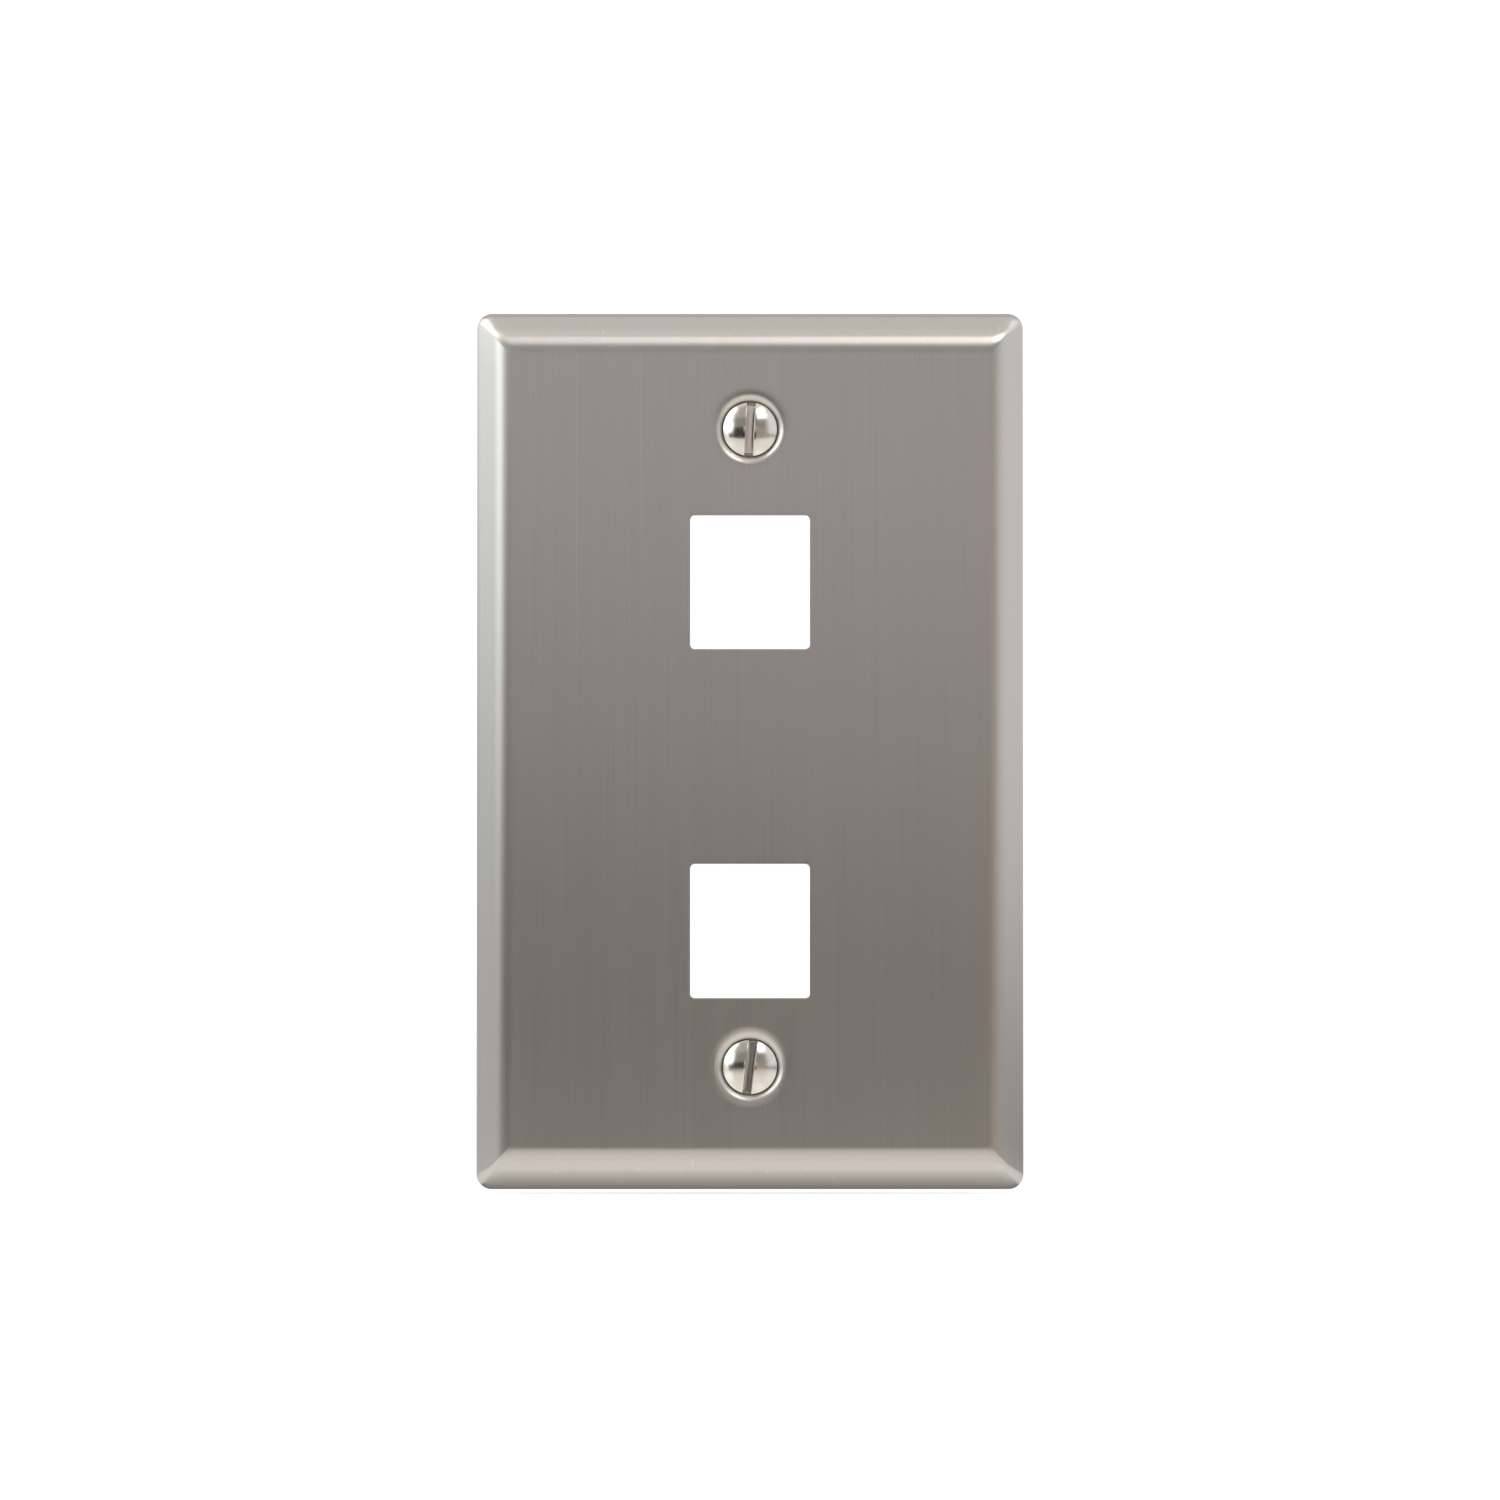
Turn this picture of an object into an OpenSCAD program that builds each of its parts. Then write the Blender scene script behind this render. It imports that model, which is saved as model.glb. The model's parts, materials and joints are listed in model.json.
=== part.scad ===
// Stainless steel wall plate for two snap-in jacks.
// It is drawn lying on the wall plane: x to the right, y up, z away from the wall.
// upright() then stands it up: the face looks along -Y, and the wall is at Y = 0.

/* [Faceplate] */
// Width of the faceplate over its rim
plate_w = 71.5; // [70:0.1:76]
// Height of the faceplate over its rim
plate_h = 114.6; // [114:0.1:118]
// How far the face stands off the wall
plate_depth = 5.6; // [5.5:0.05:6.5]
// Thickness of the steel sheet
sheet_t = 0.9; // [0.8:0.05:1]
// Corner radius of the rim, seen from the front
rim_corner_r = 2; // [1.5:0.1:3]
// Height of the rim's straight side
rim_h = 2.3; // [2:0.1:2.5]
// Outer radius of the knee between the rim and the bevels
knee_r = 1.2; // [1.1:0.1:1.5]
// Width of the bevels along the sides, seen from the front
side_bevel_w = 4.65; // [4.5:0.05:5]
// Outer radius of the bends between those bevels and the face
side_bend_r = 3.8; // [3:0.1:3.9]
// Width of the bevels along the ends, seen from the front
end_bevel_w = 5.5; // [5.3:0.1:6]
// Outer radius of the bends between those bevels and the face
end_bend_r = 5.7; // [4:0.1:6]

/* [Jack windows] */
// Width of a window
window_w = 15.6; // [14.8:0.1:16]
// Height of a window
window_h = 17.45; // [16.5:0.05:17.8]
// Corner radius of a window
window_corner_r = 0.6; // [0.3:0.1:1]
// Distance between the centres of the windows
window_spacing = 45.57; // [44:0.01:46]
// How far the middle of the pair of windows is below the middle of the plate
window_drop = 0.84; // [0:0.01:1]

/* [Screws] */
// Distance between the screws, which is that of the ears of a single-gang box
screw_spacing = 83.34; // [83:0.01:83.6]
// How far the middle of the pair of screws is above the middle of the plate
screw_rise = 0.3; // [0:0.05:0.5]
// Outside diameter of the 6-32 thread
thread_d = 3.505; // [3.4:0.005:3.6]
// Diameter of the plain neck between the head and the thread
neck_d = 3; // [2.8:0.05:3.1]
// Length from the edge of the head to the tip
screw_length = 25.4; // [12:0.1:32]
// Diameter of the oval head
head_d = 7.1; // [6.8:0.05:7.2]
// Height of the dome above the edge of the head
dome_h = 1.05; // [0.8:0.05:1.2]
// Width of the driver slot
slot_w = 1.15; // [1:0.05:1.3]
// Depth of the driver slot below the top of the dome
slot_depth = 1.65; // [1.4:0.05:1.8]
// Lean of the upper screw's slot, clockwise from upright, seen from the front
upper_slot_lean = 3; // [0:1:90]
// Lean of the lower screw's slot
lower_slot_lean = 7; // [0:1:90]

/* [Dimples] */
// Diameter of the screw holes
hole_d = 4.1; // [3.9:0.05:4.3]
// Front radius of the bend between the face and the seat
dimple_bend_r = 1.4; // [1.2:0.1:1.6]
// Diameter of the seat where it meets that bend
seat_d = 7.5; // [7.4:0.05:7.8]
// Depth of the screw hole's end below the face
dimple_depth = 3; // [2.8:0.05:3.2]

/* [Screw retainers] */
// Outside diameter of a retaining washer
retainer_d = 8; // [7:0.1:9]
// Thickness of a retaining washer
retainer_t = 0.8; // [0.6:0.05:0.9]
// Gap between the screw and the washer, round its neck and above its thread
retainer_gap = 0.05; // [0.03:0.01:0.08]
// Distance from the wall plane to the washer
retainer_standoff = 0.3; // [0.2:0.05:0.6]
// Width of the slit through the washer
retainer_slit_w = 0.6; // [0.4:0.1:1]

/* [Port housings] */
// Depth of a housing behind the faceplate
housing_depth = 9; // [8:0.1:10]
// Wall of a housing at its sides
housing_side_t = 2.1; // [1.6:0.1:2.6]
// Wall of a housing above and below its pocket
housing_end_t = 1.7; // [1.4:0.1:1.8]
// Gap between the edge of the window and the housing's front opening
housing_reveal = 0.15; // [0.1:0.05:0.3]
// Thickness of the housing's front
housing_front_t = 1.5; // [1.2:0.1:1.8]
// Room below the window for the hook of a jack
hook_pocket = 2.2; // [1.8:0.1:2.4]
// Room above the window for the latch of a jack
latch_pocket = 3.4; // [3:0.1:3.8]
// How far the lower lip reaches into the pocket
hook_lip = 1.2; // [0.8:0.1:1.6]
// How far the upper lip reaches into the pocket
latch_lip = 1.8; // [1.2:0.1:2.2]
// Thickness of the lips
lip_t = 1.6; // [1.2:0.1:2]

/* [Housing fixings] */
// Distance between the weld studs of one housing
stud_spacing = 27; // [27:0.5:30]
// Diameter of a weld stud
stud_d = 2.5; // [2.2:0.1:2.8]
// Length of a weld stud, with its foot
stud_length = 3.4; // [3:0.1:4]
// Diameter of a weld stud's foot
stud_foot_d = 3.4; // [3:0.1:3.8]
// Thickness of a weld stud's foot
stud_foot_t = 0.5; // [0.3:0.1:0.7]
// Diameter of a push nut
push_nut_d = 6.4; // [5.6:0.1:6.6]
// Thickness of a push nut's sheet
push_nut_t = 0.35; // [0.3:0.05:0.5]
// Height of a push nut's dish
push_nut_dish_h = 0.5; // [0.3:0.05:0.7]

/* [Hidden] */
$fn = 96;
ARC_STEPS = 8;
THROUGH = 1; // how far a cutting shape runs past what it cuts
SEAT_HALF_ANGLE = 41; // an 82 degree countersink
SEAT_GAP = 0.05; // between the head's cone and its seat
HEAD_EDGE_T = 0.15;
TIP_CHAMFER = 0.6;
WING_SLOT_GAP = 0.3;
GUSSET = 1.6;

back_z = plate_depth - sheet_t; // the back of the face
seat_slope = 90 - SEAT_HALF_ANGLE; // the seat's slope, measured from the face
seat_top_z = plate_depth - dimple_bend_r * (1 - cos(seat_slope));
// Height of the top of the head's edge when its cone is SEAT_GAP from the seat.
head_edge_z = seat_top_z - (seat_d - head_d) / 2 / tan(SEAT_HALF_ANGLE)
    + SEAT_GAP / sin(SEAT_HALF_ANGLE) + HEAD_EDGE_T;
thread_top_z = retainer_standoff - retainer_gap;
dome_sphere_r = (pow(head_d / 2, 2) + pow(dome_h, 2)) / (2 * dome_h);
opening_w = window_w + 2 * housing_reveal;
wing_w = (stud_spacing - opening_w) / 2 - housing_side_t + push_nut_d / 2 + 0.4;
wing_h = push_nut_d + 1.6;

// Points of an arc about a centre, from one angle to another.
function arc(centre, r, from, to, steps = ARC_STEPS) =
    [for (i = [0:steps]) centre + r * [cos(from + (to - from) * i / steps), sin(from + (to - from) * i / steps)]];

// The faceplate's edge in section, as [distance in from the rim, height above the wall].
// The bevel is the line that touches the knee's circle and the bend's.
// The inset moves the section into the sheet, and base is the height at which it starts.
function edge_section(inset, base, bevel_w, bend_r) =
    let (
        knee_centre = [knee_r, rim_h],
        bend_centre = [bevel_w, plate_depth - bend_r],
        apart = bend_centre - knee_centre,
        slope = atan2(apart[1], apart[0]) + asin((bend_r - knee_r) / norm(apart))
    )
    concat(
        [[inset, base]],
        arc(knee_centre, knee_r - inset, 180, 90 + slope, 4),
        arc(bend_centre, bend_r - inset, 90 + slope, 90)
    );

function mirrored(half, w) = concat(
    [for (p = half) [p[0] - w / 2, p[1]]],
    [for (i = [len(half) - 1:-1:0]) [w / 2 - half[i][0], half[i][1]]]
);

function rounded_rectangle(w, h, r) = concat(
    arc([w / 2 - r, h / 2 - r], r, 0, 90),
    arc([r - w / 2, h / 2 - r], r, 90, 180),
    arc([r - w / 2, r - h / 2], r, 180, 270),
    arc([w / 2 - r, r - h / 2], r, 270, 360)
);

function window_y(side) = side * window_spacing / 2 - window_drop;
function screw_y(side) = side * screw_spacing / 2 + screw_rise;

module upright() {
    rotate([90, 0, 0]) children();
}

// A solid block with bevelled, mitred edges. The faceplate is one less a smaller one.
module bevelled_block(inset, base) {
    intersection() {
        rotate([90, 0, 0])
            linear_extrude(plate_h - 2 * inset, center = true)
                polygon(mirrored(edge_section(inset, base, side_bevel_w, side_bend_r), plate_w));
        rotate([90, 0, 90])
            linear_extrude(plate_w - 2 * inset, center = true)
                polygon(mirrored(edge_section(inset, base, end_bevel_w, end_bend_r), plate_h));
        translate([0, 0, base])
            linear_extrude(plate_depth + THROUGH - base)
                polygon(rounded_rectangle(plate_w - 2 * inset, plate_h - 2 * inset, rim_corner_r - inset));
    }
}

// The front surface of a dimple in section, as [radius, height], from the face down to the hole.
function dimple_front() = concat(
    arc([seat_d / 2 + dimple_bend_r * sin(seat_slope), plate_depth - dimple_bend_r],
        dimple_bend_r, 90, 90 + seat_slope, 6),
    [[hole_d / 2, seat_top_z - (seat_d - hole_d) / 2 / tan(SEAT_HALF_ANGLE)]]
);

module dimple_recess() {
    rotate_extrude()
        polygon(concat(dimple_front(), [
            [hole_d / 2, plate_depth - dimple_depth - THROUGH],
            [0, plate_depth - dimple_depth - THROUGH],
            [0, plate_depth + THROUGH],
            [dimple_front()[0][0], plate_depth + THROUGH]
        ]));
}

module dimple_boss() {
    bend_centre = [seat_d / 2 + dimple_bend_r * sin(seat_slope), plate_depth - dimple_bend_r];
    back_bend = arc(bend_centre, dimple_bend_r - sheet_t, 90, 90 + seat_slope, 4);
    last = back_bend[len(back_bend) - 1];
    end_z = plate_depth - dimple_depth;
    rotate_extrude()
        polygon(concat(back_bend, [
            [last[0] - (last[1] - end_z) * tan(SEAT_HALF_ANGLE), end_z],
            [0, end_z],
            [0, plate_depth - sheet_t / 2],
            [back_bend[0][0], plate_depth - sheet_t / 2]
        ]));
}

module faceplate() {
    color([0.62, 0.59, 0.56])
        upright()
            difference() {
                union() {
                    difference() {
                        bevelled_block(0, 0);
                        bevelled_block(sheet_t, -THROUGH);
                    }
                    for (side = [-1, 1])
                        translate([0, screw_y(side), 0]) dimple_boss();
                }
                for (side = [-1, 1]) {
                    translate([0, screw_y(side), 0]) dimple_recess();
                    translate([0, window_y(side), back_z - THROUGH])
                        linear_extrude(sheet_t + 2 * THROUGH)
                            polygon(rounded_rectangle(window_w, window_h, window_corner_r));
                }
            }
}

// An oval-head screw, held captive: its thread can't pass the washer round its neck.
// Its heights are from the top of the head's edge, and its tip points into the wall.
module screw(side, slot_lean) {
    cone_end = -HEAD_EDGE_T - (head_d - neck_d) / 2 / tan(SEAT_HALF_ANGLE);
    thread_top = thread_top_z - head_edge_z;
    color([0.83, 0.8, 0.74])
        upright()
            translate([0, screw_y(side), head_edge_z])
                difference() {
                    union() {
                        intersection() {
                            translate([0, 0, dome_h - dome_sphere_r]) sphere(r = dome_sphere_r);
                            rotate_extrude()
                                polygon([
                                    [0, cone_end],
                                    [neck_d / 2, cone_end],
                                    [head_d / 2, -HEAD_EDGE_T],
                                    [head_d / 2, dome_h],
                                    [0, dome_h]
                                ]);
                        }
                        rotate_extrude()
                            polygon([
                                [0, -screw_length],
                                [thread_d / 2 - TIP_CHAMFER, -screw_length],
                                [thread_d / 2, TIP_CHAMFER - screw_length],
                                [thread_d / 2, thread_top - (thread_d - neck_d) / 2],
                                [neck_d / 2, thread_top],
                                [neck_d / 2, cone_end + THROUGH],
                                [0, cone_end + THROUGH]
                            ]);
                    }
                    rotate([0, 0, -slot_lean])
                        translate([-slot_w / 2, -head_d, dome_h - slot_depth])
                            cube([slot_w, 2 * head_d, slot_depth + THROUGH]);
                }
}

// A split nylon washer that keeps a screw in its hole.
module screw_retainer(side) {
    color([0.9, 0.88, 0.8])
        upright()
            translate([0, screw_y(side), retainer_standoff])
                difference() {
                    cylinder(d = retainer_d, h = retainer_t);
                    translate([0, 0, -THROUGH])
                        cylinder(r = neck_d / 2 + retainer_gap, h = retainer_t + 2 * THROUGH);
                    translate([-retainer_slit_w / 2, 0, -THROUGH])
                        cube([retainer_slit_w, retainer_d, retainer_t + 2 * THROUGH]);
                }
}

// The room for a jack in section, as [height from the window's middle, height above the wall].
function jack_room() =
    let (
        low = -window_h / 2,
        high = window_h / 2,
        front_low = low - housing_reveal,
        front_high = high + housing_reveal,
        front_z = back_z - housing_front_t,
        rear_z = back_z - housing_depth,
        lip_z = rear_z + lip_t
    ) [
        [front_low, back_z + THROUGH],
        [front_low, front_z],
        [low - hook_pocket, front_z - hook_pocket / 2],
        [low - hook_pocket, lip_z],
        [low - hook_pocket + hook_lip, lip_z],
        [low - hook_pocket + hook_lip, rear_z + lip_t / 2],
        [low - hook_pocket + hook_lip / 2, rear_z - THROUGH],
        [high + latch_pocket - latch_lip / 2, rear_z - THROUGH],
        [high + latch_pocket - latch_lip, rear_z + lip_t / 2],
        [high + latch_pocket - latch_lip, lip_z],
        [high + latch_pocket, lip_z],
        [high + latch_pocket, front_z - latch_pocket / 2],
        [front_high, front_z],
        [front_high, back_z + THROUGH]
    ];

module housing_wing() {
    wing_x = opening_w / 2 + housing_side_t;
    difference() {
        union() {
            translate([wing_x - 0.5, -wing_h / 2, back_z - housing_front_t])
                cube([wing_w + 0.5, wing_h, housing_front_t]);
            for (y = [-wing_h / 2, wing_h / 2 - 0.8])
                translate([wing_x, y, back_z - housing_front_t])
                    rotate([-90, 0, 0])
                        linear_extrude(0.8)
                            polygon([[-0.5, 0], [GUSSET, 0], [0, GUSSET], [-0.5, GUSSET]]);
        }
        translate([stud_spacing / 2, 0, back_z - housing_front_t - THROUGH])
            cylinder(d = stud_d + WING_SLOT_GAP, h = housing_front_t + 2 * THROUGH);
        translate([stud_spacing / 2, 0, back_z - stud_foot_t - 0.1])
            cylinder(d = stud_foot_d + WING_SLOT_GAP, h = stud_foot_t + THROUGH);
    }
}

// The moulded frame behind a window, into which a jack snaps from the back.
module port_housing(side) {
    outer_w = opening_w + 2 * housing_side_t;
    bottom = -window_h / 2 - hook_pocket - housing_end_t;
    top = window_h / 2 + latch_pocket + housing_end_t;
    color([0.1, 0.1, 0.11])
        upright()
            translate([0, window_y(side), 0])
                union() {
                    difference() {
                        translate([-outer_w / 2, bottom, back_z - housing_depth])
                            cube([outer_w, top - bottom, housing_depth]);
                        rotate([90, 0, 90])
                            linear_extrude(opening_w, center = true)
                                polygon(jack_room());
                    }
                    housing_wing();
                    mirror([1, 0, 0]) housing_wing();
                }
}

// A stud welded to the back of the face.
module weld_stud(side, hand) {
    color([0.72, 0.45, 0.3])
        upright()
            translate([hand * stud_spacing / 2, window_y(side), back_z - stud_length]) {
                cylinder(d = stud_d, h = stud_length - stud_foot_t);
                translate([0, 0, stud_length - stud_foot_t])
                    cylinder(d = stud_foot_d, h = stud_foot_t);
            }
}

// A dished spring washer with a slotted middle, pushed over a weld stud.
module push_nut(side, hand) {
    bite_r = stud_d / 2 + 0.02;
    dish_r = bite_r + 1;
    color([0.45, 0.45, 0.47])
        upright()
            translate([hand * stud_spacing / 2, window_y(side), back_z - housing_front_t])
                mirror([0, 0, 1])
                    difference() {
                        rotate_extrude()
                            polygon([
                                [dish_r, 0],
                                [push_nut_d / 2, 0],
                                [push_nut_d / 2, push_nut_t],
                                [dish_r, push_nut_t],
                                [bite_r, push_nut_dish_h + push_nut_t],
                                [bite_r, push_nut_dish_h]
                            ]);
                        for (turn = [0:90:270])
                            rotate([0, 0, turn + 45])
                                translate([0, -0.2, -THROUGH])
                                    cube([dish_r, 0.4, push_nut_dish_h + push_nut_t + 2 * THROUGH]);
                    }
}

faceplate();
port_housing(1);  // upper_port_housing
port_housing(-1);  // lower_port_housing
weld_stud(1, -1);  // upper_left_weld_stud
weld_stud(1, 1);  // upper_right_weld_stud
weld_stud(-1, -1);  // lower_left_weld_stud
weld_stud(-1, 1);  // lower_right_weld_stud
push_nut(1, -1);  // upper_left_push_nut
push_nut(1, 1);  // upper_right_push_nut
push_nut(-1, -1);  // lower_left_push_nut
push_nut(-1, 1);  // lower_right_push_nut
screw(1, upper_slot_lean);  // upper_screw
screw(-1, lower_slot_lean);  // lower_screw
screw_retainer(1);  // upper_screw_retainer
screw_retainer(-1);  // lower_screw_retainer
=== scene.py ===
"""The looks of the wall plate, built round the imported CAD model.

Shapes are worked out in plate coordinates, in millimetres: u to the right, v up the plate and w out of the
wall, towards the viewer. Row coordinates are (u, -w, v), in metres.
"""
import json
import math

import bmesh
import bpy
import numpy as np
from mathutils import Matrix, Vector
from mathutils.geometry import delaunay_2d_cdt


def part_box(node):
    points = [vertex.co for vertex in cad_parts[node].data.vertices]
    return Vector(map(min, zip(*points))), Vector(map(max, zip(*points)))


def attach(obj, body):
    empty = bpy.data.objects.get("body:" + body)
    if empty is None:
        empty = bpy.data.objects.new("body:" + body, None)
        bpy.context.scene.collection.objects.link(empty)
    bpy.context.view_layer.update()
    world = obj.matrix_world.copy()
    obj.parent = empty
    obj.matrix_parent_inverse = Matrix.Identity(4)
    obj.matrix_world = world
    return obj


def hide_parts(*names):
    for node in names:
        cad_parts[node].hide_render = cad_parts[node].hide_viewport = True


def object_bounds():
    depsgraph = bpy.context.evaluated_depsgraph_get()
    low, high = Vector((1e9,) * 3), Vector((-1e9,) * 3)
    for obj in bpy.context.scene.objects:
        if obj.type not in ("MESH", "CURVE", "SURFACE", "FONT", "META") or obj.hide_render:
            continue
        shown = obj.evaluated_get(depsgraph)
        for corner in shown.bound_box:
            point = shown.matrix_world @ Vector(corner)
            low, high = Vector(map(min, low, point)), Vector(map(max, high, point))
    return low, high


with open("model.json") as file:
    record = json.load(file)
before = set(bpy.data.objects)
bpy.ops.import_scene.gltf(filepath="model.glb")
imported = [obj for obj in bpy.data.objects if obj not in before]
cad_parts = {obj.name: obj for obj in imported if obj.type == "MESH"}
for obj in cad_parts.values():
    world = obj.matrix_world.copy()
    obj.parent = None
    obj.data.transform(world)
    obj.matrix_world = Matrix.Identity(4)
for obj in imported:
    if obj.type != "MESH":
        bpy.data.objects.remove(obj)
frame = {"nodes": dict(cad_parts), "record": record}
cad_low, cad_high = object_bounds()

MM = 0.001
MOUNTS = {m["name"]: m for m in frame["record"]["mounts"]}

# The faceplate, as in the CAD model.
PLATE_LOW, PLATE_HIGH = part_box("faceplate")
PLATE_W = (PLATE_HIGH.x - PLATE_LOW.x) / MM
PLATE_H = (PLATE_HIGH.z - PLATE_LOW.z) / MM
DEPTH = -PLATE_LOW.y / MM
SHEET_T = 0.9
RIM_CORNER_R = 2.0
FACE_CORNER_R = 0.5
RIM_H = 2.3
KNEE_R = 1.2
SIDE_BEVEL = (4.65, 3.8)  # width, and the radius of its bend into the face
END_BEVEL = (5.5, 5.7)
WINDOW_W, WINDOW_H, WINDOW_CORNER_R = 15.6, 17.45, 0.6
WINDOW_V = [MOUNTS[name]["pos_m"][2] / MM for name in ("upper_jack_port", "lower_jack_port")]
SEAT_HALF_ANGLE = math.radians(41)
HOLE_R = 2.05
SEAT_R = 3.75
DIMPLE_BEND_R = 1.4
DIMPLE_DEPTH = 3.0
# Two long scratches on the face, as (distance across, lowest point), in millimetres.
SCRATCHES = ((-22.6, 5), (-14.2, 20))
GUARD = 0.2  # how far the flat face is kept clear of the first ring of a bend

# The screws, as in the CAD model.
NECK_R = 1.5
THREAD_R = 1.7525
THREAD_ROOT_R = 1.3
PITCH = 25.4 / 32
THREAD_FLAT = 0.175  # how much of the slope the flat crests and roots each cut off
THREAD_RUNOUT = 0.8  # in turns
RINGS_PER_TURN = 12
DOME_H = 1.05
HEAD_EDGE_T = 0.15
SLOT_W = 1.15
SLOT_DEPTH = 1.65
SLOT_LEAN = {"upper": 3, "lower": 7}  # degrees clockwise, seen from the front
TIP_CHAMFER = 0.6
HALVINGS = 40  # how often the search for a slot column's end halves its range


# ---------------------------------------------------------------- mesh building

UV_SCALE = 5
WALL_LEAN = 0.35  # a face whose normal points towards the viewer by less than this counts as a wall
WELD_DIST, SLIVER = 1e-7, 1e-8


def arc(centre, radius, start, end, steps):
    """Points of an arc, with the angles in degrees."""
    angles = np.radians(np.linspace(start, end, steps + 1))
    return [(centre[0] + radius * math.cos(a), centre[1] + radius * math.sin(a)) for a in angles]


class Shell:
    """The points and faces of one closed mesh, in plate coordinates."""

    def __init__(self):
        self.points, self.faces, self.tags = [], [], []

    def ring(self, points):
        first = len(self.points)
        self.points.extend(tuple(p) for p in points)
        return list(range(first, len(self.points)))

    def face(self, corners, tag=0):
        self.faces.append(tuple(corners))
        self.tags.append(tag)

    def bridge(self, a, b, tag=0, closed=True):
        for i in range(len(a) - (not closed)):
            j = (i + 1) % len(a)
            self.face((a[i], a[j], b[j], b[i]), tag)

    def bridges(self, rings, tag=0, closed=True):
        for a, b in zip(rings, rings[1:]):
            self.bridge(a, b, tag, closed)

    def cap(self, ring, point, tag=0):
        middle = self.ring([point])[0]
        for i in range(len(ring)):
            self.face((ring[i], ring[(i + 1) % len(ring)], middle), tag)

    def fill(self, loops, height, clear_of, tag=0, spacing=5.0):
        """Fills the flat region inside the first loop and outside the others, which are convex holes.
        clear_of(u, v) says whether a place is well inside that region."""
        hole = {i: n for n, loop in enumerate(loops[1:]) for i in loop}
        ids = [i for loop in loops for i in loop]
        flat = [Vector(self.points[i][:2]) for i in ids]
        place = {i: n for n, i in enumerate(ids)}
        edges = [(place[a], place[b]) for loop in loops for a, b in zip(loop, loop[1:] + loop[:1])]
        for u in np.arange(-PLATE_W / 2, PLATE_W / 2, spacing):
            for v in np.arange(-PLATE_H / 2, PLATE_H / 2, spacing):
                if clear_of(u, v):
                    ids.append(self.ring([(u, v, height)])[0])
                    flat.append(Vector((u, v)))
        _, _, triangles, origins, _, _ = delaunay_2d_cdt(flat, edges, [], 0, 1e-6)
        for corners in triangles:
            points = [ids[origins[c][0]] for c in corners]
            holes = {hole.get(i) for i in points}
            if len(holes) > 1 or None in holes:
                self.face(points, tag)

    def make(self, name, body, materials, replaces=()):
        """Makes the piece, in row coordinates, gives it its body and materials, and hides the CAD nodes that
        it replaces.
        """
        mesh = bpy.data.meshes.new(name)
        mesh.from_pydata([(u * MM, -w * MM, v * MM) for u, v, w in self.points], [], self.faces)
        for polygon, tag in zip(mesh.polygons, self.tags):
            polygon.material_index = tag
        bm = bmesh.new()
        bm.from_mesh(mesh)
        bmesh.ops.remove_doubles(bm, verts=bm.verts, dist=WELD_DIST)
        bmesh.ops.dissolve_degenerate(bm, edges=bm.edges, dist=SLIVER)
        bmesh.ops.recalc_face_normals(bm, faces=bm.faces)
        uv = bm.loops.layers.uv.new("across_and_up")
        for f in bm.faces:
            f.smooth = True
            # The grain's map lies in the face's plane. On an upright wall, one axis follows the depth.
            axes = "xz"
            if abs(f.normal.y) < WALL_LEAN:
                axes = "yz" if abs(f.normal.x) > abs(f.normal.z) else "xy"
            for loop in f.loops:
                loop[uv].uv = [getattr(loop.vert.co, axis) * UV_SCALE for axis in axes]
        bm.to_mesh(mesh)
        bm.free()
        for material in materials:
            mesh.materials.append(material)
        piece = bpy.data.objects.new(name, mesh)
        bpy.context.scene.collection.objects.link(piece)
        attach(piece, body)
        if replaces:
            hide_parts(*replaces)
        return piece


# ---------------------------------------------------------------- materials

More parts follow.
